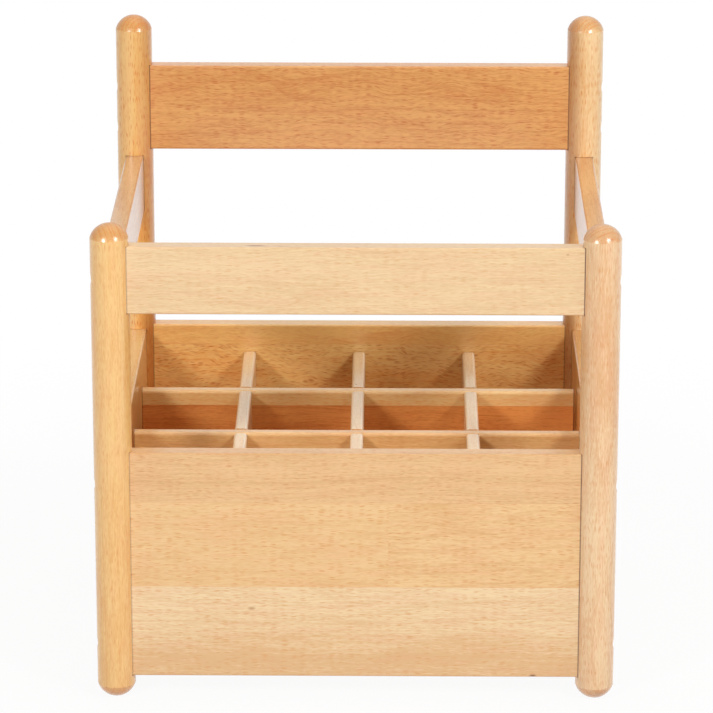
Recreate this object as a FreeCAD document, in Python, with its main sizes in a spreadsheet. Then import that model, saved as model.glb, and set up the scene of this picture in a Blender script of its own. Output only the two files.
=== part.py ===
import FreeCAD, Part
import Sketcher
import os
import re

# Wooden tool caddy: four round posts, rails and panels between them, a bottom board,
# and a loose grid of dividers. Millimetres, +Z up, front towards -Y.
# Origin: on the floor, in the middle between the four posts.

doc = FreeCAD.newDocument("tool_caddy")
sheet = doc.addObject("Spreadsheet::Sheet", "sizes")

SIZES = [
    # posts
    ("post_dia", 28),
    ("post_spacing_x", 352),
    ("post_spacing_y", 310),
    ("front_post_height", 361),
    ("back_post_height", 442),
    ("top_dome_height", 10.5),
    ("foot_dome_height", 10),
    ("foot_flat_dia", 8),
    # boards between the posts; a drop is from the top of the post down to the top of the rail,
    # for the side rails from the top of the front post
    ("board_thickness", 14),
    ("board_edge_radius", 1.5),
    ("front_rail_drop", 16),
    ("front_rail_height", 50),
    ("back_rail_drop", 39),
    ("back_rail_height", 67),
    ("side_rail_drop", 29),
    ("side_rail_height", 45),
    ("panel_bottom", 17),
    ("panel_height", 173),
    ("back_panel_height", 175),
    # housings in the posts: flat floor this far from the post axis
    ("housing_floor", 10.5),
    ("housing_gap", 0.2),
    # bottom board and its grooves
    ("bottom_thickness", 9),
    ("groove_above_edge", 10),
    ("groove_depth", 5),
    ("groove_play", 0.4),
    ("bottom_edge_play", 0.5),
    ("post_cope_gap", 0.5),
    # divider grid
    ("divider_thickness", 10),
    ("divider_height", 134),
    ("divider_edge_radius", 2.5),
    ("row_end_play", 1.8),
    ("column_end_play", 1),
    ("lap_play", 0.4),
    # screws through the posts into rail and panel ends
    ("counterbore_dia", 10),
    ("counterbore_depth", 6),
    ("screw_head_dia", 9),
    ("screw_head_height", 4),
    ("screw_shank_dia", 5),
    ("screw_length", 50),
    ("screw_tip_length", 4),
    ("screw_play", 0.2),
    ("socket_flats", 4),
    ("socket_depth", 2.5),
    ("back_rail_screw_pitch", 33),
    ("panel_screw_inset", 25),
    # dowels between side boards and posts
    ("dowel_dia", 8),
    ("dowel_length", 30),
    ("dowel_screw_gap", 1),
    ("dowel_play", 0.2),
    ("dowel_end_play", 0.5),
    ("rail_dowel_low", 9.5),
    ("rail_dowel_pitch", 13),
    ("panel_dowel_pitch", 41),
]
NAMES = [pair[0] for pair in SIZES]
for row, (name, value) in enumerate(SIZES, start=1):
    sheet.set("A%d" % row, name)
    sheet.set("B%d" % row, str(value))
    sheet.setAlias("B%d" % row, name)
doc.recompute()

PATTERN = re.compile(r"\b(" + "|".join(NAMES) + r")\b")
parts = []


def bind(obj, prop, text):
    """Binds a property to an expression in which sizes are named plainly."""
    obj.setExpression(prop, PATTERN.sub(r"sizes.\1", text))


def place(obj, x, y, z):
    bind(obj, "Placement.Base.x", x)
    bind(obj, "Placement.Base.y", y)
    bind(obj, "Placement.Base.z", z)


def new_body(label, x, y, z):
    body = doc.addObject("PartDesign::Body", label)
    body.Label = label
    place(body, x, y, z)
    parts.append(body)
    return body


def plane(body, role):
    for feature in body.Origin.OriginFeatures:
        if feature.Role == role:
            return feature
    raise RuntimeError("no plane " + role)


def new_sketch(body, name, role):
    sketch = body.newObject("Sketcher::SketchObject", name)
    sketch.AttachmentSupport = [(plane(body, role), "")]
    sketch.MapMode = "FlatFace"
    return sketch


def size_constraint(sketch, name, kind, where, text, start):
    """Adds a named dimension bound to a size. The starting value is near the final one."""
    index = sketch.addConstraint(Sketcher.Constraint(kind, *where, start))
    sketch.renameConstraint(index, name)
    bind(sketch, "Constraints." + name, text)


def cut_box(body, name, x, y, z, dx, dy, dz):
    """Cuts a box, given by the middle of x and y and the bottom of z."""
    box = body.newObject("PartDesign::SubtractiveBox", name)
    bind(box, "Length", dx)
    bind(box, "Width", dy)
    bind(box, "Height", dz)
    place(box, "(%s) - (%s) / 2" % (x, dx), "(%s) - (%s) / 2" % (y, dy), z)
    return box


def cut_bore(body, name, along, sign, x, y, z, dia, depth):
    """Cuts a round hole that starts at x, y, z and runs along +X, -X, +Y or -Y."""
    bore = body.newObject("PartDesign::SubtractiveCylinder", name)
    bind(bore, "Radius", "(%s) / 2" % dia)
    bind(bore, "Height", depth)
    turn(bore, along, sign)
    place(bore, x, y, z)
    return bore


def turn(obj, along, sign):
    """Turns an object built along +Z so that it runs along the given axis."""
    if along == "X":
        rotation = FreeCAD.Rotation(FreeCAD.Vector(0, 1, 0), 90 * sign)
    else:
        rotation = FreeCAD.Rotation(FreeCAD.Vector(1, 0, 0), -90 * sign)
    obj.Placement = FreeCAD.Placement(FreeCAD.Vector(0, 0, 0), rotation)


def value(name):
    return dict(SIZES)[name]


# Half spacings and levels that several pieces share.
HALF_X = "post_spacing_x / 2"
HALF_Y = "post_spacing_y / 2"
INNER_X = "(post_spacing_x - board_thickness)"
INNER_Y = "(post_spacing_y - board_thickness)"
LENGTH_X = "(post_spacing_x - 2 * housing_floor)"
LENGTH_Y = "(post_spacing_y - 2 * housing_floor)"
# lower edge of each board
FRONT_RAIL_LOW = "(front_post_height - front_rail_drop - front_rail_height)"
BACK_RAIL_LOW = "(back_post_height - back_rail_drop - back_rail_height)"
SIDE_RAIL_LOW = "(front_post_height - side_rail_drop - side_rail_height)"
PANEL_LOW = "panel_bottom"
# levels of the screws and dowels
FRONT_RAIL_SCREWS = [FRONT_RAIL_LOW + " + front_rail_height / 2"]
BACK_RAIL_SCREWS = [
    BACK_RAIL_LOW + " + (back_rail_height - back_rail_screw_pitch) / 2",
    BACK_RAIL_LOW + " + (back_rail_height + back_rail_screw_pitch) / 2",
]
PANEL_SCREWS = [
    PANEL_LOW + " + panel_screw_inset",
    PANEL_LOW + " + panel_height - panel_screw_inset",
]
RAIL_DOWELS = [
    SIDE_RAIL_LOW + " + rail_dowel_low",
    SIDE_RAIL_LOW + " + rail_dowel_low + rail_dowel_pitch",
]
PANEL_DOWELS = [
    PANEL_LOW + " + panel_height / 2 - panel_dowel_pitch",
    PANEL_LOW + " + panel_height / 2",
    PANEL_LOW + " + panel_height / 2 + panel_dowel_pitch",
]
SHANK_BORE = "(screw_shank_dia + screw_play)"
DOWEL_BORE = "(dowel_dia + dowel_play)"
# the dowels stop short of the screws, which cross the posts on their axis
DOWEL_IN_POST = "(housing_floor - screw_shank_dia / 2 - dowel_screw_gap)"
# depth of the screw holes in the ends of the boards, a little more than the screw needs
PILOT_DEPTH = "(screw_length - post_dia / 2 + counterbore_depth - housing_floor + screw_play)"
BOTTOM_LEVEL = "(%s + groove_above_edge)" % PANEL_LOW
GRID_LEVEL = "(%s + groove_above_edge + bottom_thickness)" % PANEL_LOW
COLUMN_PITCH = "((post_spacing_x - board_thickness + divider_thickness) / 4)"
ROW_PITCH = "((post_spacing_y - board_thickness + divider_thickness) / 3)"


def post_profile(body, height):
    """Half outline of a post, from the foot flat over the side to the top of the dome."""
    tall = value(height)
    radius = value("post_dia") / 2
    flat = value("foot_flat_dia") / 2
    foot = value("foot_dome_height")
    dome = value("top_dome_height")
    point = FreeCAD.Vector
    sketch = new_sketch(body, body.Label + "_profile", "XZ_Plane")

    def arc(start, end):
        """Arc about a point on the axis, through two points, counterclockwise."""
        middle = (end.x ** 2 + end.y ** 2 - start.x ** 2 - start.y ** 2) / (2 * (end.y - start.y))
        centre = point(0, middle, 0)
        circle = Part.Circle(centre, point(0, 0, 1), (start - centre).Length)
        return Part.ArcOfCircle(circle, circle.parameter(start), circle.parameter(end))

    corner = [point(0, 0, 0), point(flat, 0, 0), point(radius, foot, 0),
              point(radius, tall - dome, 0), point(0, tall, 0)]
    sketch.addGeometry(Part.LineSegment(corner[0], corner[1]), False)
    sketch.addGeometry(arc(corner[1], corner[2]), False)
    sketch.addGeometry(Part.LineSegment(corner[2], corner[3]), False)
    sketch.addGeometry(arc(corner[3], corner[4]), False)
    sketch.addGeometry(Part.LineSegment(corner[4], corner[0]), False)
    for first in range(5):
        sketch.addConstraint(Sketcher.Constraint("Coincident", first, 2, (first + 1) % 5, 1))
    sketch.addConstraint(Sketcher.Constraint("Coincident", 0, 1, -1, 1))
    sketch.addConstraint(Sketcher.Constraint("Horizontal", 0))
    sketch.addConstraint(Sketcher.Constraint("Vertical", 2))
    sketch.addConstraint(Sketcher.Constraint("Vertical", 4))
    sketch.addConstraint(Sketcher.Constraint("PointOnObject", 1, 3, -2))
    sketch.addConstraint(Sketcher.Constraint("PointOnObject", 3, 3, -2))
    size_constraint(sketch, "flat", "DistanceX", (0, 1, 0, 2), "foot_flat_dia / 2", flat)
    size_constraint(sketch, "radius", "DistanceX", (-1, 1, 2, 1), "post_dia / 2", radius)
    size_constraint(sketch, "foot", "DistanceY", (-1, 1, 2, 1), "foot_dome_height", foot)
    size_constraint(sketch, "side", "DistanceY", (-1, 1, 2, 2), height + " - top_dome_height", tall - dome)
    size_constraint(sketch, "tall", "DistanceY", (-1, 1, 3, 2), height, tall)
    return sketch


def post(label, right, back, height, panel_height, rail_low, rail_height, rail_screws):
    """A turned post with housings for its rails and panels, and bores for screws and dowels.
    right and back are -1 or 1 and say which corner it stands in."""
    body = new_body(label, "%d * %s" % (right, HALF_X), "%d * %s" % (back, HALF_Y), "0")
    sketch = post_profile(body, height)
    turned = body.newObject("PartDesign::Revolution", label + "_turned")
    turned.Profile = sketch
    turned.ReferenceAxis = (sketch, ["V_Axis"])
    turned.Angle = 360
    doc.recompute()
    wide = "(board_thickness + 2 * housing_gap)"
    deep = "(post_dia / 2 - housing_floor + 1)"
    centre = "(housing_floor + %s / 2)" % deep
    boards_x = [("rail", rail_low, rail_height), ("panel", PANEL_LOW, panel_height)]
    boards_y = [("side_rail", SIDE_RAIL_LOW, "side_rail_height"), ("side_panel", PANEL_LOW, "panel_height")]
    for name, low, tall in boards_x:
        cut_box(body, "%s_%s_housing" % (label, name), "%d * %s" % (-right, centre), "0",
                low + " - housing_gap", deep, wide, tall + " + 2 * housing_gap")
    for name, low, tall in boards_y:
        cut_box(body, "%s_%s_housing" % (label, name), "0", "%d * %s" % (-back, centre),
                low + " - housing_gap", wide, deep, tall + " + 2 * housing_gap")
    for number, level in enumerate(rail_screws + PANEL_SCREWS, start=1):
        cut_bore(body, "%s_counterbore_%d" % (label, number), "X", -right,
                 "%d * (post_dia / 2 + 1)" % right, "0", level, "counterbore_dia", "counterbore_depth + 1")
        cut_bore(body, "%s_screw_bore_%d" % (label, number), "X", -right,
                 "%d * post_dia / 2" % right, "0", level, SHANK_BORE, "post_dia / 2 + housing_floor + 1")
    for number, level in enumerate(RAIL_DOWELS + PANEL_DOWELS, start=1):
        cut_bore(body, "%s_dowel_bore_%d" % (label, number), "Y", back, "0",
                 "%d * (housing_floor + 1)" % -back, level, DOWEL_BORE, DOWEL_IN_POST + " + 1")
    doc.recompute()
    return body


def board(label, along, x, y, z, length, height, thickness, radius, top_only=False):
    """A flat board on edge, its middle at x and y, its lower edge at z, long edges rounded."""
    body = new_body(label, x, y, z)
    half = value(thickness) / 2
    tall = value(height)
    point = FreeCAD.Vector
    sketch = new_sketch(body, label + "_section", "YZ_Plane" if along == "X" else "XZ_Plane")
    corner = [point(-half, 0, 0), point(half, 0, 0), point(half, tall, 0), point(-half, tall, 0)]
    for first in range(4):
        sketch.addGeometry(Part.LineSegment(corner[first], corner[(first + 1) % 4]), False)
    for first in range(4):
        sketch.addConstraint(Sketcher.Constraint("Coincident", first, 2, (first + 1) % 4, 1))
    sketch.addConstraint(Sketcher.Constraint("Horizontal", 2))
    sketch.addConstraint(Sketcher.Constraint("Vertical", 1))
    sketch.addConstraint(Sketcher.Constraint("Vertical", 3))
    sketch.addConstraint(Sketcher.Constraint("Symmetric", 0, 1, 0, 2, -1, 1))
    size_constraint(sketch, "thickness", "DistanceX", (0, 1, 0, 2), thickness, 2 * half)
    size_constraint(sketch, "height", "DistanceY", (1, 1, 1, 2), height, tall)
    pad = body.newObject("PartDesign::Pad", label + "_plank")
    pad.Profile = sketch
    pad.SideType = "Symmetric"
    bind(pad, "Length", length)
    doc.recompute()
    edges = []
    for index, edge in enumerate(pad.Shape.Edges, start=1):
        run = edge.Vertexes[1].Point - edge.Vertexes[0].Point
        along_it = abs(run.x if along == "X" else run.y) > 0.99 * run.Length
        middle = (edge.Vertexes[0].Point.z + edge.Vertexes[1].Point.z) / 2
        if along_it and (not top_only or middle > tall / 2):
            edges.append("Edge%d" % index)
    eased = body.newObject("PartDesign::Fillet", label + "_eased")
    eased.Base = (pad, edges)
    bind(eased, "Radius", radius)
    doc.recompute()
    return body


def end_bores(body, along, length, levels, base, dia, depth):
    """Bores the same holes into both ends of a board."""
    for sign, side in ((-1, "low"), (1, "high")):
        for number, level in enumerate(levels, start=1):
            start = "%d * (%s / 2 + 1)" % (sign, length)
            cut_bore(body, "%s_%s_bore_%d" % (body.Label, side, number), along, -sign,
                     start if along == "X" else "0", start if along == "Y" else "0",
                     "%s - (%s)" % (level, base), dia, depth + " + 1")


def panel_groove(body, along, length, inward):
    """The groove for the bottom board, on the inner face. inward is the sign of that face's side."""
    across = "%d * (board_thickness / 2 - groove_depth / 2 + 0.5)" % inward
    deep = "groove_depth + 1"
    run = length + " + 2"
    high = "bottom_thickness + groove_play"
    if along == "X":
        cut_box(body, body.Label + "_groove", "0", across, "groove_above_edge", run, deep, high)
    else:
        cut_box(body, body.Label + "_groove", across, "0", "groove_above_edge", deep, run, high)


FACES = (
    ("front", -1, "panel_height", FRONT_RAIL_LOW, FRONT_RAIL_SCREWS),
    ("back", 1, "back_panel_height", BACK_RAIL_LOW, BACK_RAIL_SCREWS),
)
for side, sign, tall, low, screws in FACES:
    for hand, right in (("left", -1), ("right", 1)):
        post("%s_%s_post" % (side, hand), right, sign, side + "_post_height", tall, low,
             side + "_rail_height", screws)
    rail = board(side + "_rail", "X", "0", "%d * %s" % (sign, HALF_Y), low, LENGTH_X,
                 side + "_rail_height", "board_thickness", "board_edge_radius")
    end_bores(rail, "X", LENGTH_X, screws, low, SHANK_BORE, PILOT_DEPTH)
    panel = board(side + "_panel", "X", "0", "%d * %s" % (sign, HALF_Y), PANEL_LOW, LENGTH_X,
                  tall, "board_thickness", "board_edge_radius")
    panel_groove(panel, "X", LENGTH_X, -sign)
    end_bores(panel, "X", LENGTH_X, PANEL_SCREWS, PANEL_LOW, SHANK_BORE, PILOT_DEPTH)

DOWEL_IN_BOARD = "(dowel_length - %s + dowel_end_play)" % DOWEL_IN_POST
for side, sign in (("left", -1), ("right", 1)):
    rail = board(side + "_side_rail", "Y", "%d * %s" % (sign, HALF_X), "0", SIDE_RAIL_LOW, LENGTH_Y,
                 "side_rail_height", "board_thickness", "board_edge_radius")
    end_bores(rail, "Y", LENGTH_Y, RAIL_DOWELS, SIDE_RAIL_LOW, DOWEL_BORE, DOWEL_IN_BOARD)
    panel = board(side + "_side_panel", "Y", "%d * %s" % (sign, HALF_X), "0", PANEL_LOW, LENGTH_Y,
                  "panel_height", "board_thickness", "board_edge_radius")
    panel_groove(panel, "Y", LENGTH_Y, -sign)
    end_bores(panel, "Y", LENGTH_Y, PANEL_DOWELS, PANEL_LOW, DOWEL_BORE, DOWEL_IN_BOARD)

# Bottom board: a plain rectangle in the grooves, its corners coped round the posts.
bottom = new_body("bottom_board", "0", "0", BOTTOM_LEVEL)
reach = value("groove_depth") - value("bottom_edge_play")
half_x = (value("post_spacing_x") - value("board_thickness")) / 2 + reach
half_y = (value("post_spacing_y") - value("board_thickness")) / 2 + reach
outline = new_sketch(bottom, "bottom_outline", "XY_Plane")
corners = [FreeCAD.Vector(-half_x, -half_y, 0), FreeCAD.Vector(half_x, -half_y, 0),
           FreeCAD.Vector(half_x, half_y, 0), FreeCAD.Vector(-half_x, half_y, 0)]
for first in range(4):
    outline.addGeometry(Part.LineSegment(corners[first], corners[(first + 1) % 4]), False)
for first in range(4):
    outline.addConstraint(Sketcher.Constraint("Coincident", first, 2, (first + 1) % 4, 1))
for line in (0, 2):
    outline.addConstraint(Sketcher.Constraint("Horizontal", line))
for line in (1, 3):
    outline.addConstraint(Sketcher.Constraint("Vertical", line))
outline.addConstraint(Sketcher.Constraint("Symmetric", 0, 1, 1, 2, -1, 1))
size_constraint(outline, "wide", "DistanceX", (0, 1, 0, 2),
                INNER_X + " + 2 * (groove_depth - bottom_edge_play)", 2 * half_x)
size_constraint(outline, "deep", "DistanceY", (1, 1, 1, 2),
                INNER_Y + " + 2 * (groove_depth - bottom_edge_play)", 2 * half_y)
slab = bottom.newObject("PartDesign::Pad", "bottom_slab")
slab.Profile = outline
bind(slab, "Length", "bottom_thickness")
doc.recompute()
for number, (right, back) in enumerate(((-1, -1), (1, -1), (1, 1), (-1, 1)), start=1):
    cope = bottom.newObject("PartDesign::SubtractiveCylinder", "bottom_cope_%d" % number)
    bind(cope, "Radius", "post_dia / 2 + post_cope_gap")
    bind(cope, "Height", "bottom_thickness + 2")
    place(cope, "%d * %s" % (right, HALF_X), "%d * %s" % (back, HALF_Y), "-1")
doc.recompute()

# Divider grid: the row dividers are slotted from below, the column dividers from above.
LAP = "(divider_thickness + 2 * lap_play)"
HALF_LAP = "divider_height / 2"
for side, sign in (("front", -1), ("back", 1)):
    row = board("row_divider_" + side, "X", "0", "%d * %s / 2" % (sign, ROW_PITCH), GRID_LEVEL,
                "(%s - 2 * row_end_play)" % INNER_X, "divider_height", "divider_thickness",
                "divider_edge_radius", top_only=True)
    for number, step in enumerate((-1, 0, 1), start=1):
        cut_box(row, "%s_lap_%d" % (row.Label, number), "%d * %s" % (step, COLUMN_PITCH), "0", "-1",
                LAP, "divider_thickness + 2", HALF_LAP + " + 1")
for side, step in (("left", -1), ("middle", 0), ("right", 1)):
    column = board("column_divider_" + side, "Y", "%d * %s" % (step, COLUMN_PITCH), "0", GRID_LEVEL,
                   "(%s - 2 * column_end_play)" % INNER_Y, "divider_height", "divider_thickness",
                   "divider_edge_radius", top_only=True)
    for number, sign in enumerate((-1, 1), start=1):
        cut_box(column, "%s_lap_%d" % (column.Label, number), "0", "%d * %s / 2" % (sign, ROW_PITCH),
                HALF_LAP, "divider_thickness + 2", LAP, HALF_LAP + " + 1")
doc.recompute()


def screw(name, right, y, level):
    """A screw with a cylindrical head and hex socket, seated on the floor of its counterbore."""
    seat = "%d * (%s + post_dia / 2 - counterbore_depth)" % (right, HALF_X)
    head = doc.addObject("Part::Cylinder", name + "_head")
    bind(head, "Radius", "screw_head_dia / 2")
    bind(head, "Height", "screw_head_height")
    turn(head, "X", right)
    place(head, seat, y, level)
    shank = doc.addObject("Part::Cylinder", name + "_shank")
    bind(shank, "Radius", "screw_shank_dia / 2")
    bind(shank, "Height", "screw_length - screw_tip_length")
    turn(shank, "X", -right)
    place(shank, seat, y, level)
    tip = doc.addObject("Part::Cone", name + "_tip")
    bind(tip, "Radius1", "screw_shank_dia / 2")
    bind(tip, "Radius2", "screw_shank_dia / 8")
    bind(tip, "Height", "screw_tip_length")
    turn(tip, "X", -right)
    place(tip, "%s - %d * (screw_length - screw_tip_length)" % (seat, right), y, level)
    whole = doc.addObject("Part::MultiFuse", name + "_blank")
    whole.Shapes = [head, shank, tip]
    socket = doc.addObject("Part::Prism", name + "_socket")
    socket.Polygon = 6
    bind(socket, "Circumradius", "socket_flats / sqrt(3)")
    bind(socket, "Height", "socket_depth + 1")
    turn(socket, "X", right)
    place(socket, "%s + %d * (screw_head_height - socket_depth)" % (seat, right), y, level)
    driven = doc.addObject("Part::Cut", name)
    driven.Base = whole
    driven.Tool = socket
    return driven


def group(label, pieces):
    """Identical small pieces that share one node."""
    compound = doc.addObject("Part::Compound", label)
    compound.Label = label
    compound.Links = pieces
    parts.append(compound)


def screw_group(label, back, levels):
    pieces = []
    for right in (-1, 1):
        for level in levels:
            name = "%s_%d" % (label[:-1], len(pieces) + 1)
            pieces.append(screw(name, right, "%d * %s" % (back, HALF_Y), level))
    group(label, pieces)


def dowel_group(label, right, levels):
    pieces = []
    for back in (-1, 1):
        for level in levels:
            pin = doc.addObject("Part::Cylinder", "%s_%d" % (label[:-1], len(pieces) + 1))
            bind(pin, "Radius", "dowel_dia / 2")
            bind(pin, "Height", "dowel_length")
            turn(pin, "Y", -back)
            place(pin, "%d * %s" % (right, HALF_X),
                  "%d * (%s - housing_floor + %s)" % (back, HALF_Y, DOWEL_IN_POST), level)
            pieces.append(pin)
    group(label, pieces)


screw_group("front_rail_screws", -1, FRONT_RAIL_SCREWS)
screw_group("back_rail_screws", 1, BACK_RAIL_SCREWS)
screw_group("front_panel_screws", -1, PANEL_SCREWS)
screw_group("back_panel_screws", 1, PANEL_SCREWS)
for side, sign in (("left", -1), ("right", 1)):
    dowel_group(side + "_rail_dowels", sign, RAIL_DOWELS)
    dowel_group(side + "_panel_dowels", sign, PANEL_DOWELS)

doc.recompute()
for obj in doc.Objects:
    if "Invalid" in obj.State or "Error" in obj.State:
        raise RuntimeError("failed: " + obj.Label)
for piece in parts:
    if piece.Shape.isNull() or not piece.Shape.isValid():
        raise RuntimeError("bad shape: " + piece.Label)
os.makedirs("parts", exist_ok=True)
for piece in parts:
    piece.Shape.exportStep("parts/%s.step" % piece.Label)
    box = piece.Shape.BoundBox
    print("%-24s solids %d  volume %.1f  z %.2f to %.2f" %
          (piece.Label, len(piece.Shape.Solids), piece.Shape.Volume, box.ZMin, box.ZMax))
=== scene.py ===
import math

import bpy
from mathutils import Matrix, Vector


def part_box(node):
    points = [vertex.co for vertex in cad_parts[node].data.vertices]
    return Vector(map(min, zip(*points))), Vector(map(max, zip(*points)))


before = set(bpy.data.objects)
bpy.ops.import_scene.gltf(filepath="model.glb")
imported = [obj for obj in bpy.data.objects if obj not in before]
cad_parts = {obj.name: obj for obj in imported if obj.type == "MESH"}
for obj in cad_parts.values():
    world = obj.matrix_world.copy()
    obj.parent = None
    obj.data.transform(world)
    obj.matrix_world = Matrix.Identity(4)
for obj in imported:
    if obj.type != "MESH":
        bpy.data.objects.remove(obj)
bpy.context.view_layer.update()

# Looks of a beech tool caddy. Metres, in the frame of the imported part: +Z up, front towards -Y.
# The materials are solid wood, worked out in millimetres from each piece's own coordinates,
# so that the grain runs through a board from its face to its edges and ends.

MM = 0.001
IMAGE_SIDE = 713
SENSOR = 36.0


def srgb(red, green, blue):
    """A linear colour from the 0 to 255 values of a screen colour."""
    def linear(level):
        level /= 255.0
        return level / 12.92 if level <= 0.04045 else ((level + 0.055) / 1.055) ** 2.4
    return (linear(red), linear(green), linear(blue), 1.0)


class Graph:
    """Short calls that add nodes to a material. A number or a socket may stand for any input."""

    def __init__(self, name):
        self.material = bpy.data.materials.new(name)
        self.material.use_nodes = True
        self.tree = self.material.node_tree
        self.tree.nodes.clear()

    def put(self, socket, value):
        if isinstance(value, bpy.types.NodeSocket):
            self.tree.links.new(value, socket)
        else:
            socket.default_value = value

    def add(self, kind, settings=None, **inputs):
        node = self.tree.nodes.new(kind)
        for key, value in (settings or {}).items():
            setattr(node, key, value)
        for key, value in inputs.items():
            self.put(node.inputs[key.replace("_", " ")], value)
        return node

    def math(self, operation, first, second=0.0, third=0.0, clamp=False):
        node = self.add("ShaderNodeMath", {"operation": operation, "use_clamp": clamp})
        for socket, value in zip(node.inputs, (first, second, third)):
            self.put(socket, value)
        return node.outputs[0]

    def vector(self, x, y, z):
        return self.add("ShaderNodeCombineXYZ", X=x, Y=y, Z=z).outputs[0]

    def noise(self, x, y, z, detail, roughness):
        return self.add("ShaderNodeTexNoise", {"noise_dimensions": "3D"}, Vector=self.vector(x, y, z),
                        Scale=1.0, Detail=detail, Roughness=roughness)

    def band(self, along, detail=2.0, roughness=0.55):
        """Noise along one number: bands of uneven width."""
        node = self.add("ShaderNodeTexNoise", {"noise_dimensions": "1D"}, W=along, Scale=1.0,
                        Detail=detail, Roughness=roughness)
        return node.outputs[0]

    def step(self, value, low, high):
        """0 below low and 1 above high, smooth between. With low above high it falls instead."""
        node = self.add("ShaderNodeMapRange", {"interpolation_type": "SMOOTHSTEP"}, Value=value)
        for key, level in (("From Min", low), ("From Max", high), ("To Min", 0.0), ("To Max", 1.0)):
            node.inputs[key].default_value = level
        return node.outputs[0]

    def blend(self, share, first, second, kind="MIX"):
        node = self.add("ShaderNodeMix", {"data_type": "RGBA", "blend_type": kind, "clamp_factor": True})
        self.put(node.inputs[0], share)
        self.put(node.inputs[6], first)
        self.put(node.inputs[7], second)
        return node.outputs[2]

    def tint(self, share, colour, tint):
        """The colour, multiplied by a tint where the share is 1."""
        return self.blend(share, colour, self.blend(1.0, colour, tint, kind="MULTIPLY"))

    def finish(self, shader):
        output = self.add("ShaderNodeOutputMaterial")
        self.tree.links.new(shader, output.inputs["Surface"])
        return self.material


# Tints of the wood. Those without srgb are shares that multiply the board's own colour.
END_GRAIN = (0.76, 0.58, 0.39, 1.0)
# Heartwood, and painted shade in the corners of the back posts.
HEARTWOOD_AND_SHADE = (0.62, 0.40, 0.22, 1.0)
BLUSH_TINT = (1.0, 0.955, 0.965, 1.0)
FLECK_TINT = (0.90, 0.53, 0.18, 1.0)
DENSE_FLECK_TINT = (0.70, 0.36, 0.13, 1.0)
RED_BROWN = srgb(140, 66, 24)
JOINT_BROWN = srgb(104, 48, 18)
KNOT = srgb(186, 116, 50)
# Painted highlight for the rounded edges.
EDGE_HIGHLIGHT_PAINT = srgb(255, 242, 224)

# Noise of the wood's figure, in cycles per mm: along the grain, through the thickness, across the width.
WANDER = (0.006, 0.02, 0.02)
SWAY = (0.03, 0.06, 0.06)
FIBRE = (0.035, 1.1, 1.1)
DASHES = (0.2, 1.2, 1.2)
PATCHES = (0.011, 0.03, 0.045)
BLUSH = (0.03, 0.2, 0.2)

# Shifts in mm that give each board, stave and butted piece a figure of its own.
SEED_SHIFT = 211.0
STAVE_SHIFT = 173.0
STAVE_STEP = 31.0
STAVE_SHIFT_WIDE = 47.0
STAVE_SHIFT_THICK = 9.0
BUTT_SHIFT = 391.0
BUTT_SHIFT_WIDE = 23.0

# Year rings: soft bands for each ring, their shift for each seed, the unevenness of the rings.
BANDS_PER_RING = 0.45
BAND_SHIFT = 3.7
UNEVEN_PER_RING = 0.35
UNEVENNESS = 1.6
LATE_WOOD_POWER = 5.0

# Ray flecks: size in mm, range of the fading edge, ranges of the chance that a cell has a fleck.
FLECK_LENGTH = 7.0
FLECK_WIDTH = 0.9
FLECK_EDGE = (0.5, 0.12)
FLECK_CHANCE = (0.1, 0.9)
DENSE_FLECK_CHANCE = (-0.3, 0.5)

# How much each part of the figure ripens the colour.
LATE_WOOD_SHARE = 0.3
BAND_SHARE = 0.5
FIBRE_SHARE = 1.5
DASH_SHARE = 1.3

# Shares of the tints, and the ranges over which they come in.
BLUSH_RANGE = (0.4, 0.7)
SEAM_RANGE = (0.45, 0.1)
SEAM_SHARE = 0.12
# Heartwood on the inner side of the back posts, then the painted shade of the corner below a height.
HEART_SHADE_FACING = (0.0, 0.8)
CORNER_SHADE_ABOVE = 20.0
CORNER_SHADE_BELOW = 5.0
CORNER_SHADE_SHARE = 0.95
END_RANGE = (0.05, 0.6)
END_SHARE = 0.8
RING_LINE_RANGE = (0.35, 0.95)
RING_LINE_SHARE = 0.45
# Rounded edges: painted shade along the lower ones and a trace along all, and the range of the painted
# highlight.
EDGE_RANGE = (0.06, 0.45)
ALL_EDGE_SHADE = 0.03
LOWER_EDGE_SHADE = 0.32
RIM_RANGE = (0.08, 0.35)
JOINT_START = 1.0
JOINT_FULL = 0.3
MARK_RAGGED = 0.6
MARK_RANGE = (1.3, 0.5)
RED_MARK = 0.65

# Relief and gloss of the lacquered surface.
FLECK_RELIEF = -0.2
FIBRE_RELIEF = 0.5
FIBRE_ROUGH = 0.14
FLECK_ROUGH = 0.08
BASE_ROUGH = 0.33


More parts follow.
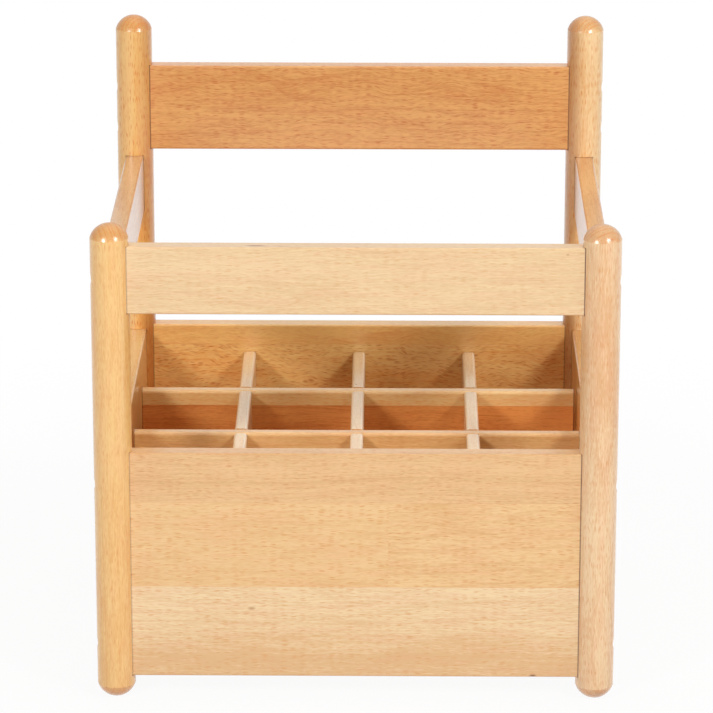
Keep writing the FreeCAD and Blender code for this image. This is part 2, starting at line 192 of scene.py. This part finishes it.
def beech(name, along, centre, pale, deep, pith, seed, staves=(), butt=None, ends=None, fade=None,
          heart_and_shade=None, rim=0.0, marks=(), fleck=0.3, dense=False, wavy=6.0, patchy=1.5, ring=4.0, warp=16.0):
    """Lacquered beech.

    along   axis of the grain, "X", "Y" or "Z"
    centre  a point of the piece in mm, from which the pith is measured
    pale    colour of the early wood, deep of the late wood
    pith    place of the pith across the grain in mm: thickness first, then width
    seed    number that gives the piece a figure of its own
    staves  (height in mm, pale, deep, fleck) of each glued strip above the first
    butt    (low, high, x, pale, deep) in mm: a strip that is of another piece left of x
    ends    (place along the grain in mm, strength at the low end, at the high end) of the dark joint lines:
            glue, with painted shade of the gap there
    fade    (height in mm, width, amount) of a slow change to riper wood below a height
    heart_and_shade (sign, height in mm, strength) of darker heartwood on the side that faces that way in X,
            with painted shade of the corner below the height, where it is darkest
    rim     strength of the painted highlight on the edges at the upper right and lower left of a board along Y
    marks   (point, radii, strength) in mm of small dark spots and streaks, the strong ones redder
    fleck   strength of the short dark ray flecks, dense for more and darker ones
    wavy    height in mm of the waves in the fibres, patchy strength of the wide pale and ripe patches
    ring    mean width of a year ring in mm, warp how far in mm the rings wander
    """
    g = Graph(name)
    coordinates = g.add("ShaderNodeTexCoord").outputs
    scaled_place = g.add("ShaderNodeVectorMath", {"operation": "SCALE"}, Scale=1.0 / MM)
    g.put(scaled_place.inputs[0], coordinates["Object"])
    left_to_right, y, level = g.add("ShaderNodeSeparateXYZ", Vector=scaled_place.outputs[0]).outputs
    x = g.math("SUBTRACT", left_to_right, centre[0])
    y = g.math("SUBTRACT", y, centre[1])
    z = g.math("SUBTRACT", level, centre[2])
    length, thick, wide = {"X": (x, y, z), "Y": (y, x, z), "Z": (z, x, y)}[along]
    run = length

    # Each strip of a glued panel comes from another tree.
    glue = None
    for number, (height, stave_pale, stave_deep, stave_fleck) in enumerate(staves, start=1):
        above = g.math("GREATER_THAN", level, height)
        run = g.math("MULTIPLY_ADD", above, STAVE_SHIFT + STAVE_STEP * number, run)
        wide = g.math("MULTIPLY_ADD", above, STAVE_SHIFT_WIDE * (-1) ** number, wide)
        thick = g.math("MULTIPLY_ADD", above, STAVE_SHIFT_THICK * number, thick)
        pale = g.blend(above, pale, stave_pale)
        deep = g.blend(above, deep, stave_deep)
        fleck = g.math("MULTIPLY_ADD", above, g.math("SUBTRACT", stave_fleck, fleck), fleck)
        seam = g.step(g.math("ABSOLUTE", g.math("SUBTRACT", level, height)), *SEAM_RANGE)
        glue = seam if glue is None else g.math("MAXIMUM", glue, seam)
    if butt:
        low, high, edge, butt_pale, butt_deep = butt
        inside = g.math("MULTIPLY", g.math("GREATER_THAN", level, low), g.math("LESS_THAN", level, high))
        inside = g.math("MULTIPLY", inside, g.math("LESS_THAN", left_to_right, edge))
        run = g.math("MULTIPLY_ADD", inside, BUTT_SHIFT, run)
        wide = g.math("MULTIPLY_ADD", inside, BUTT_SHIFT_WIDE, wide)
        pale = g.blend(inside, pale, butt_pale)
        deep = g.blend(inside, deep, butt_deep)
    shifted = g.math("ADD", run, SEED_SHIFT * seed)

    def figure(cycles, across, detail=1.0, roughness=0.5):
        """Noise stretched along the grain."""
        return g.noise(g.math("MULTIPLY", shifted, cycles[0]), g.math("MULTIPLY", thick, cycles[1]),
                       g.math("MULTIPLY", across, cycles[2]), detail, roughness).outputs

    # Year rings round a pith that wanders along the grain.
    drift = g.add("ShaderNodeSeparateColor", Color=figure(WANDER, wide)["Color"]).outputs
    from_pith_thick = g.math("SUBTRACT", thick, pith[0] + warp / 2)
    from_pith_wide = g.math("SUBTRACT", wide, pith[1] + warp / 2)
    off_thick = g.math("MULTIPLY_ADD", drift[0], warp, from_pith_thick)
    off_wide = g.math("MULTIPLY_ADD", drift[1], warp, from_pith_wide)
    radius = g.math("SQRT", g.math("ADD", g.math("MULTIPLY", off_thick, off_thick),
                                   g.math("MULTIPLY", off_wide, off_wide)))
    rings = g.math("DIVIDE", radius, ring)
    soft_bands = g.band(g.math("MULTIPLY_ADD", rings, BANDS_PER_RING, BAND_SHIFT * seed), detail=1.0)
    uneven = g.math("MULTIPLY_ADD", g.band(g.math("MULTIPLY", rings, UNEVEN_PER_RING)), UNEVENNESS, rings)
    within_ring = g.math("FRACT", uneven)
    late_wood = g.math("POWER", within_ring, LATE_WOOD_POWER)

    # Fibres and dashes follow waves. Patches and blush are wide and don't.
    swayed = g.math("MULTIPLY_ADD", figure(SWAY, wide)["Fac"], wavy, wide)
    fibre = figure(FIBRE, swayed, detail=2.0, roughness=0.6)["Fac"]
    dashes = figure(DASHES, swayed, detail=1.0, roughness=0.6)["Fac"]
    patch = figure(PATCHES, wide, detail=2.0)["Fac"]
    blush = figure(BLUSH, wide)["Fac"]

    cell_place = g.vector(g.math("DIVIDE", shifted, FLECK_LENGTH), g.math("DIVIDE", thick, FLECK_WIDTH),
                          g.math("DIVIDE", swayed, FLECK_WIDTH))
    cells = g.add("ShaderNodeTexVoronoi", {"voronoi_dimensions": "3D", "feature": "F1"}, Scale=1.0,
                  Randomness=1.0, Vector=cell_place).outputs
    chance = g.add("ShaderNodeSeparateColor", Color=cells["Color"]).outputs[0]
    likely = g.step(chance, *(DENSE_FLECK_CHANCE if dense else FLECK_CHANCE))
    rays = g.math("MULTIPLY", g.step(cells["Distance"], *FLECK_EDGE), likely)

    # Colour of the plain wood, from pale to deep, with its flecks and glue lines.
    ripeness = g.math("MULTIPLY", soft_bands, BAND_SHARE)
    ripeness = g.math("MULTIPLY_ADD", late_wood, LATE_WOOD_SHARE, ripeness)
    ripeness = g.math("MULTIPLY_ADD", g.math("SUBTRACT", patch, 0.5), patchy, ripeness)
    ripeness = g.math("MULTIPLY_ADD", g.math("SUBTRACT", fibre, 0.5), FIBRE_SHARE, ripeness)
    if fade:
        riper = g.step(level, fade[0] + fade[1], fade[0] - fade[1])
        ripeness = g.math("MULTIPLY_ADD", riper, fade[2], ripeness)
    ripeness = g.math("MULTIPLY_ADD", g.math("SUBTRACT", dashes, 0.5), DASH_SHARE, ripeness, clamp=True)
    colour = g.blend(ripeness, pale, deep)
    colour = g.tint(g.step(blush, *BLUSH_RANGE), colour, BLUSH_TINT)
    ray_colour = g.blend(1.0, deep, DENSE_FLECK_TINT if dense else FLECK_TINT, kind="MULTIPLY")
    colour = g.blend(g.math("MULTIPLY", rays, fleck), colour, ray_colour)
    if glue is not None:
        colour = g.blend(g.math("MULTIPLY", glue, SEAM_SHARE), colour, ray_colour)

    normal = g.add("ShaderNodeSeparateXYZ", Vector=coordinates["Normal"]).outputs
    # Darker heartwood on the inner side, and painted shade of the corner below the height.
    if heart_and_shade:
        sign, height, strength = heart_and_shade
        facing = g.step(g.math("MULTIPLY", normal[0], sign), *HEART_SHADE_FACING)
        corner_shade = g.step(level, height + CORNER_SHADE_ABOVE, height - CORNER_SHADE_BELOW)
        share = g.math("MULTIPLY_ADD", corner_shade, CORNER_SHADE_SHARE - strength, strength)
        colour = g.tint(g.math("MULTIPLY", facing, share), colour, HEARTWOOD_AND_SHADE)
    # End grain drinks in more lacquer and is darker, and shows the year rings.
    end_grain = g.step(g.math("ABSOLUTE", normal["XYZ".index(along)]), *END_RANGE)
    colour = g.tint(g.math("MULTIPLY", end_grain, END_SHARE), colour, END_GRAIN)
    ring_lines = g.math("MULTIPLY", g.step(within_ring, *RING_LINE_RANGE), end_grain)
    colour = g.blend(g.math("MULTIPLY", ring_lines, RING_LINE_SHARE), colour, ray_colour)
    if along != "Z":
        # Painted shade along the lower rounded edges, and a trace of it along all edges.
        sides = g.math("MULTIPLY", normal[1 if along == "X" else 0], normal[2])
        edge = g.step(g.math("ABSOLUTE", sides), *EDGE_RANGE)
        edge_shade = g.math("MULTIPLY_ADD", g.math("LESS_THAN", normal[2], 0.0), LOWER_EDGE_SHADE, ALL_EDGE_SHADE)
        colour = g.blend(g.math("MULTIPLY", edge, edge_shade), colour, ray_colour)
        # Painted highlight: a pale line along the rounded edges at the upper right and lower left.
        colour = g.blend(g.math("MULTIPLY", g.step(sides, *RIM_RANGE), rim), colour, EDGE_HIGHLIGHT_PAINT)
    # Dark joint lines at the board's ends: glue, with painted shade of the gap there.
    if ends:
        for sign, strength in ((-1.0, ends[1]), (1.0, ends[2])):
            joint = g.step(g.math("MULTIPLY", length, sign), ends[0] - JOINT_START, ends[0] - JOINT_FULL)
            colour = g.blend(g.math("MULTIPLY", joint, strength), colour, JOINT_BROWN)
    for point, radii, strength in marks:
        shift = g.add("ShaderNodeVectorMath", {"operation": "SUBTRACT"})
        g.put(shift.inputs[0], scaled_place.outputs[0])
        shift.inputs[1].default_value = point
        stretch = g.add("ShaderNodeVectorMath", {"operation": "DIVIDE"})
        g.put(stretch.inputs[0], shift.outputs[0])
        stretch.inputs[1].default_value = radii
        reach = g.add("ShaderNodeVectorMath", {"operation": "LENGTH"})
        g.put(reach.inputs[0], stretch.outputs[0])
        ragged = g.math("MULTIPLY_ADD", fibre, MARK_RAGGED, reach.outputs["Value"])
        spot = g.math("MULTIPLY", g.step(ragged, *MARK_RANGE), strength)
        colour = g.blend(spot, colour, RED_BROWN if strength > RED_MARK else KNOT)

    relief = g.math("MULTIPLY_ADD", rays, FLECK_RELIEF, g.math("MULTIPLY", fibre, FIBRE_RELIEF))
    bump = g.add("ShaderNodeBump", Strength=0.15, Distance=0.0002, Height=relief)
    rough_flecks = g.math("MULTIPLY_ADD", rays, FLECK_ROUGH, BASE_ROUGH)
    polish = g.math("MULTIPLY_ADD", fibre, FIBRE_ROUGH, rough_flecks)
    surface = g.add("ShaderNodeBsdfPrincipled", Base_Color=colour, Roughness=polish,
                    Normal=bump.outputs[0], Coat_Weight=1.0, Coat_Roughness=0.22, Coat_IOR=1.6)
    return g.finish(surface.outputs[0])


def zinc(name):
    """Zinc plated steel, dulled unevenly."""
    g = Graph(name)
    place = g.add("ShaderNodeTexCoord").outputs["Object"]
    cloud = g.add("ShaderNodeTexNoise", Vector=place, Scale=900.0, Detail=3.0).outputs["Fac"]
    turned = g.add("ShaderNodeTexNoise", Vector=place, Scale=4000.0, Detail=1.0).outputs["Fac"]
    colour = g.blend(cloud, srgb(150, 146, 138), srgb(196, 192, 184))
    bump = g.add("ShaderNodeBump", Strength=0.2, Distance=0.0001, Height=turned)
    surface = g.add("ShaderNodeBsdfPrincipled", Base_Color=colour, Metallic=1.0,
                    Roughness=g.math("MULTIPLY_ADD", cloud, 0.25, 0.28), Normal=bump.outputs[0])
    return g.finish(surface.outputs[0])


def node_centre(node):
    low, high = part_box(node)
    return tuple((low[axis] + high[axis]) / 2 / MM for axis in range(3))


def paint(node, material):
    """Gives a node of the part its material."""
    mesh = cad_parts[node].data
    mesh.materials.clear()
    mesh.materials.append(material)


# Tones of the wood: the early wood, then the late wood.
LINEN = (srgb(248, 221, 178), srgb(236, 198, 149))
CREAM = (srgb(244, 212, 164), srgb(230, 190, 138))
STRAW = (srgb(248, 219, 172), srgb(233, 188, 132))
HONEY = (srgb(245, 204, 144), srgb(228, 175, 110))
BISCUIT = (srgb(240, 196, 138), srgb(220, 167, 105))
PINE = (srgb(253, 203, 122), srgb(242, 171, 84))
ROSE = (srgb(248, 214, 168), srgb(232, 179, 125))
AMBER = (srgb(241, 180, 105), srgb(214, 134, 62))
RUSSET = (srgb(246, 166, 90), srgb(214, 122, 54))
TAN = (srgb(230, 182, 132), srgb(210, 158, 108))
COPPER = (srgb(230, 172, 106), srgb(208, 144, 80))

# Places in mm: heights of the panels, rail and dividers, the front face, where the joints of rails
# and panels show, the ends of the row dividers, and the seams of the front panel.
PANEL_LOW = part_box("front_panel")[0][2] / MM
PANEL_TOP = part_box("front_panel")[1][2] / MM
GRID_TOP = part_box("row_divider_back")[1][2] / MM
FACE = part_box("front_panel")[0][1] / MM
RAIL_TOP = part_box("front_rail")[1][2] / MM
JOINT = 163.9
GRID_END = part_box("row_divider_back")[1][0] / MM
LOWER_SEAM = PANEL_LOW + 70.3
UPPER_SEAM = PANEL_TOP - 37.7

# name, grain, tone, pith (thickness, width), seed, extra settings
WOOD = [
    ("front_left_post", "Z", (srgb(250, 204, 131), srgb(237, 174, 92)), (34, 12), 1, {
        "ring": 3.6, "fleck": 0.4}),
    ("front_right_post", "Z", ROSE, (-9, 26), 2, {
        "ring": 3.0, "fleck": 0.6, "patchy": 2.2,
        "marks": (((188.6, FACE + 0.9, 214.8), (1.0, 1.0, 1.0), 0.6),)}),
    # The back posts' inner sides are darker: heartwood, with painted shade of the corner below 195 mm.
    ("back_left_post", "Z", PINE, (20, -24), 3, {"ring": 3.4, "fleck": 0.9, "heart_and_shade": (1, 195, 0.4)}),
    ("back_right_post", "Z", (srgb(255, 220, 163), srgb(243, 191, 126)), (-22, 12), 4, {
        "ring": 3.2, "fleck": 0.9, "heart_and_shade": (-1, 195, 0.7)}),
    ("front_rail", "X", CREAM, (60, -20), 5, {
        "ring": 5.0, "fleck": 0.4, "patchy": 1.0, "ends": (JOINT, 0.4, 0.95),
        "marks": (((-71, FACE + 5, RAIL_TOP), (10, 2.4, 1.6), 0.75),
                  ((-53, FACE + 4, RAIL_TOP), (4.0, 1.8, 1.4), 0.45),
                  ((-43, FACE + 1.5, RAIL_TOP - 0.5), (8, 1.4, 1.2), 0.3),
                  ((151, FACE, RAIL_TOP - 4.5), (1.7, 1.5, 0.9), 0.6))}),
    ("back_rail", "X", AMBER, (38, 24), 6, {
        "ring": 4.0, "fleck": 0.8, "wavy": 10.0, "patchy": 0.9, "ends": (JOINT, 0.8, 0.8)}),
    ("left_side_rail", "Y", TAN, (50, 16), 7, {}),
    ("right_side_rail", "Y", COPPER, (-46, -14), 8, {}),
    ("front_panel", "X", STRAW, (44, -10), 9, {
        "fleck": 0.6, "patchy": 0.9, "ends": (JOINT, 0.35, 0.85), "fade": (46, 26, 0.7),
        "staves": ((LOWER_SEAM, *HONEY, 0.7), (UPPER_SEAM, *BISCUIT, 0.55)),
        "butt": (LOWER_SEAM, UPPER_SEAM, 24, srgb(244, 203, 143), srgb(232, 181, 116)),
        "marks": (((-76, FACE, 70.4), (4.2, 1.5, 1.6), 0.6),
                  ((130.5, FACE + 0.5, PANEL_LOW + 1.4), (4.0, 2.0, 1.5), 0.95))}),
    ("back_panel", "X", (srgb(255, 213, 136), srgb(243, 173, 92)), (52, 8), 10, {
        "fleck": 0.7, "dense": True, "wavy": 14.0, "ends": (JOINT, 0.6, 0.6),
        "staves": ((PANEL_TOP - 14.0, srgb(254, 206, 126), srgb(240, 170, 94), 0.25),)}),
    ("left_side_panel", "Y", HONEY, (44, 20), 11, {
        "staves": ((PANEL_TOP - 60.0, srgb(255, 211, 140), srgb(247, 178, 98), 0.3),)}),
    # The right side panel's deeper tones are painted shade: its inner face lies in the shadow of the
    # corner.
    ("right_side_panel", "Y", COPPER, (-44, 12), 12, {"staves": ((PANEL_TOP - 74.0, *AMBER, 0.3),)}),
    ("bottom_board", "X", STRAW, (-60, 10), 13, {}),
    ("row_divider_front", "X", (srgb(243, 199, 137), srgb(223, 166, 102)), (40, 12), 14, {
        "ends": (GRID_END, 0.7, 0.9)}),
    # The lower strip's deep RUSSET is partly the wood's own tone, partly painted shade of the front rail's
    # shadow.
    ("row_divider_back", "X", RUSSET, (-38, 16), 15, {
        "ends": (GRID_END, 0.7, 0.9),
        "staves": ((GRID_TOP - 11.7, srgb(255, 217, 152), srgb(247, 189, 116), 0.5),)}),
    # The pale LINEN of the column dividers is partly painted light for their bright tops; rim adds a
    # painted highlight on their edges.
    ("column_divider_left", "Y", LINEN, (40, 20), 16, {"rim": 0.6}),
    ("column_divider_middle", "Y", LINEN, (-36, 12), 17, {
        "rim": 0.6, "marks": (((-1.6, 63, GRID_TOP), (1.2, 1.6, 1.2), 0.7),)}),
    ("column_divider_right", "Y", LINEN, (44, -16), 18, {"rim": 0.6}),
    ("left_rail_dowels", "Y", STRAW, (9, 9), 19, {}),
    ("right_rail_dowels", "Y", STRAW, (9, 9), 20, {}),
    ("left_panel_dowels", "Y", STRAW, (9, 9), 21, {}),
    ("right_panel_dowels", "Y", STRAW, (9, 9), 22, {}),
]
for node, along, tone, pith, seed, extra in WOOD:
    paint(node, beech(node + "_beech", along, node_centre(node), *tone, pith, seed, **extra))
steel = zinc("screw_zinc")
for node in ("front_rail_screws", "back_rail_screws", "front_panel_screws", "back_panel_screws"):
    paint(node, steel)


FLOOR_HALF = 12.0
FLOOR_DULL = (0.86, 0.86, 0.86, 1.0)
FLOOR_PALE = (0.92, 0.92, 0.92, 1.0)
GLOW_NEAR = 0.94
GLOW_FADE = (0.3, 0.8)


def floor_paint():
    """White to the camera and in reflections, with a faint shadow near the part, else matte and pale."""
    g = Graph("studio_floor_white")
    coordinates = g.add("ShaderNodeTexCoord").outputs
    grain = g.add("ShaderNodeTexNoise", Vector=coordinates["Object"], Scale=300.0, Detail=2.0)
    matte = g.add("ShaderNodeBsdfDiffuse", Color=g.blend(grain.outputs["Fac"], FLOOR_DULL, FLOOR_PALE))
    glow = g.add("ShaderNodeEmission", Color=(1, 1, 1, 1), Strength=1.0)
    path = g.add("ShaderNodeLightPath").outputs
    seen = g.math("MAXIMUM", path["Is Camera Ray"],
                  g.math("MAXIMUM", path["Is Glossy Ray"], path["Is Transmission Ray"]))
    reach = g.add("ShaderNodeVectorMath", {"operation": "LENGTH"})
    g.put(reach.inputs[0], coordinates["Object"])
    far = g.step(reach.outputs["Value"], *GLOW_FADE)
    glowing = g.math("MULTIPLY_ADD", far, 1.0 - GLOW_NEAR, GLOW_NEAR)
    both = g.add("ShaderNodeMixShader", Fac=g.math("MULTIPLY", seen, glowing))
    g.tree.links.new(matte.outputs[0], both.inputs[1])
    g.tree.links.new(glow.outputs[0], both.inputs[2])
    return g.finish(both.outputs[0])


floor_mesh = bpy.data.meshes.new("studio_floor")
floor_mesh.from_pydata([(-FLOOR_HALF, -FLOOR_HALF, 0), (FLOOR_HALF, -FLOOR_HALF, 0),
                        (FLOOR_HALF, FLOOR_HALF, 0), (-FLOOR_HALF, FLOOR_HALF, 0)], [], [(0, 1, 2, 3)])
floor_mesh.materials.append(floor_paint())
floor = bpy.data.objects.new("studio_floor", floor_mesh)
bpy.context.collection.objects.link(floor)

# World: a faint even light, white to the camera and in reflections.
WORLD_LIGHT = 0.04
WORLD_COLOUR = (1.0, 0.985, 0.965, 1.0)
world = bpy.data.worlds.new("studio_world")
bpy.context.scene.world = world
world.use_nodes = True
world_nodes = world.node_tree.nodes
world_nodes.clear()
light_path = world_nodes.new("ShaderNodeLightPath")
dim = world_nodes.new("ShaderNodeBackground")
dim.inputs["Color"].default_value = WORLD_COLOUR
dim.inputs["Strength"].default_value = WORLD_LIGHT
white = world_nodes.new("ShaderNodeBackground")
white.inputs["Strength"].default_value = 1.0
choice = world_nodes.new("ShaderNodeMixShader")
world_out = world_nodes.new("ShaderNodeOutputWorld")
link = world.node_tree.links.new
seen_direct = world_nodes.new("ShaderNodeMath")
seen_direct.operation = "MAXIMUM"
seen_at_all = world_nodes.new("ShaderNodeMath")
seen_at_all.operation = "MAXIMUM"
link(light_path.outputs["Is Camera Ray"], seen_direct.inputs[0])
link(light_path.outputs["Is Glossy Ray"], seen_direct.inputs[1])
link(seen_direct.outputs[0], seen_at_all.inputs[0])
link(light_path.outputs["Is Transmission Ray"], seen_at_all.inputs[1])
link(seen_at_all.outputs[0], choice.inputs[0])
link(dim.outputs[0], choice.inputs[1])
link(white.outputs[0], choice.inputs[2])
link(choice.outputs[0], world_out.inputs["Surface"])

# Two soft boxes in front, one to each side of the camera, a weak one at the right, and a large one
# above and behind. Only the front two show in the lacquer.
# name, azimuth from the front and elevation in degrees, side in m, power in W
TARGET = Vector((0.0, 0.0, 0.2))
LAMP_DISTANCE = 2.2
LAMP_COLOUR = (1.0, 0.985, 0.96)
SHINING_LAMPS = ("soft_box_left", "soft_box_right")
LAMPS = (("soft_box_left", -33, 25.5, 0.42, 18.2), ("soft_box_right", 40, 34, 0.42, 17.6),
         ("soft_box_side", 66, 24, 0.6, 7.0), ("soft_box_behind", 180, 74, 1.6, 24.0))
for name, azimuth, elevation, size, power in LAMPS:
    turn = math.radians(azimuth)
    lift = math.radians(elevation)
    aim = Vector((math.sin(turn) * math.cos(lift), -math.cos(turn) * math.cos(lift), math.sin(lift)))
    light = bpy.data.lights.new(name, "AREA")
    light.shape = "SQUARE"
    light.size = size
    light.energy = power
    light.color = LAMP_COLOUR
    lamp = bpy.data.objects.new(name, light)
    lamp.location = TARGET + LAMP_DISTANCE * aim
    lamp.rotation_euler = aim.to_track_quat("Z", "Y").to_euler()
    lamp.visible_glossy = name in SHINING_LAMPS
    bpy.context.collection.objects.link(lamp)

# Camera of the photograph: a long lens, in front of the caddy and above it.
CAMERA_PLACE = Vector((25.43, -2959.89, 1150.87)) * MM
FOCAL_PIXELS = 4090.65
YAW, PITCH, ROLL = (math.radians(angle) for angle in (-0.5063, 17.5859, 0.0556))
ahead = Vector((math.sin(YAW) * math.cos(PITCH), math.cos(YAW) * math.cos(PITCH), -math.sin(PITCH)))
level_right = Vector((math.cos(YAW), -math.sin(YAW), 0.0))
level_up = level_right.cross(ahead)
right = level_right * math.cos(ROLL) + level_up * math.sin(ROLL)
up = level_up * math.cos(ROLL) - level_right * math.sin(ROLL)
camera_data = bpy.data.cameras.new("photo_camera")
camera_data.sensor_fit = "HORIZONTAL"
camera_data.sensor_width = SENSOR
camera_data.lens = FOCAL_PIXELS / IMAGE_SIDE * SENSOR
camera_data.clip_end = 100.0
camera = bpy.data.objects.new("photo_camera", camera_data)
camera.matrix_world = Matrix.Translation(CAMERA_PLACE) @ Matrix((right, up, -ahead)).transposed().to_4x4()
bpy.context.collection.objects.link(camera)
bpy.context.scene.camera = camera
bpy.context.scene.view_settings.view_transform = "Standard"
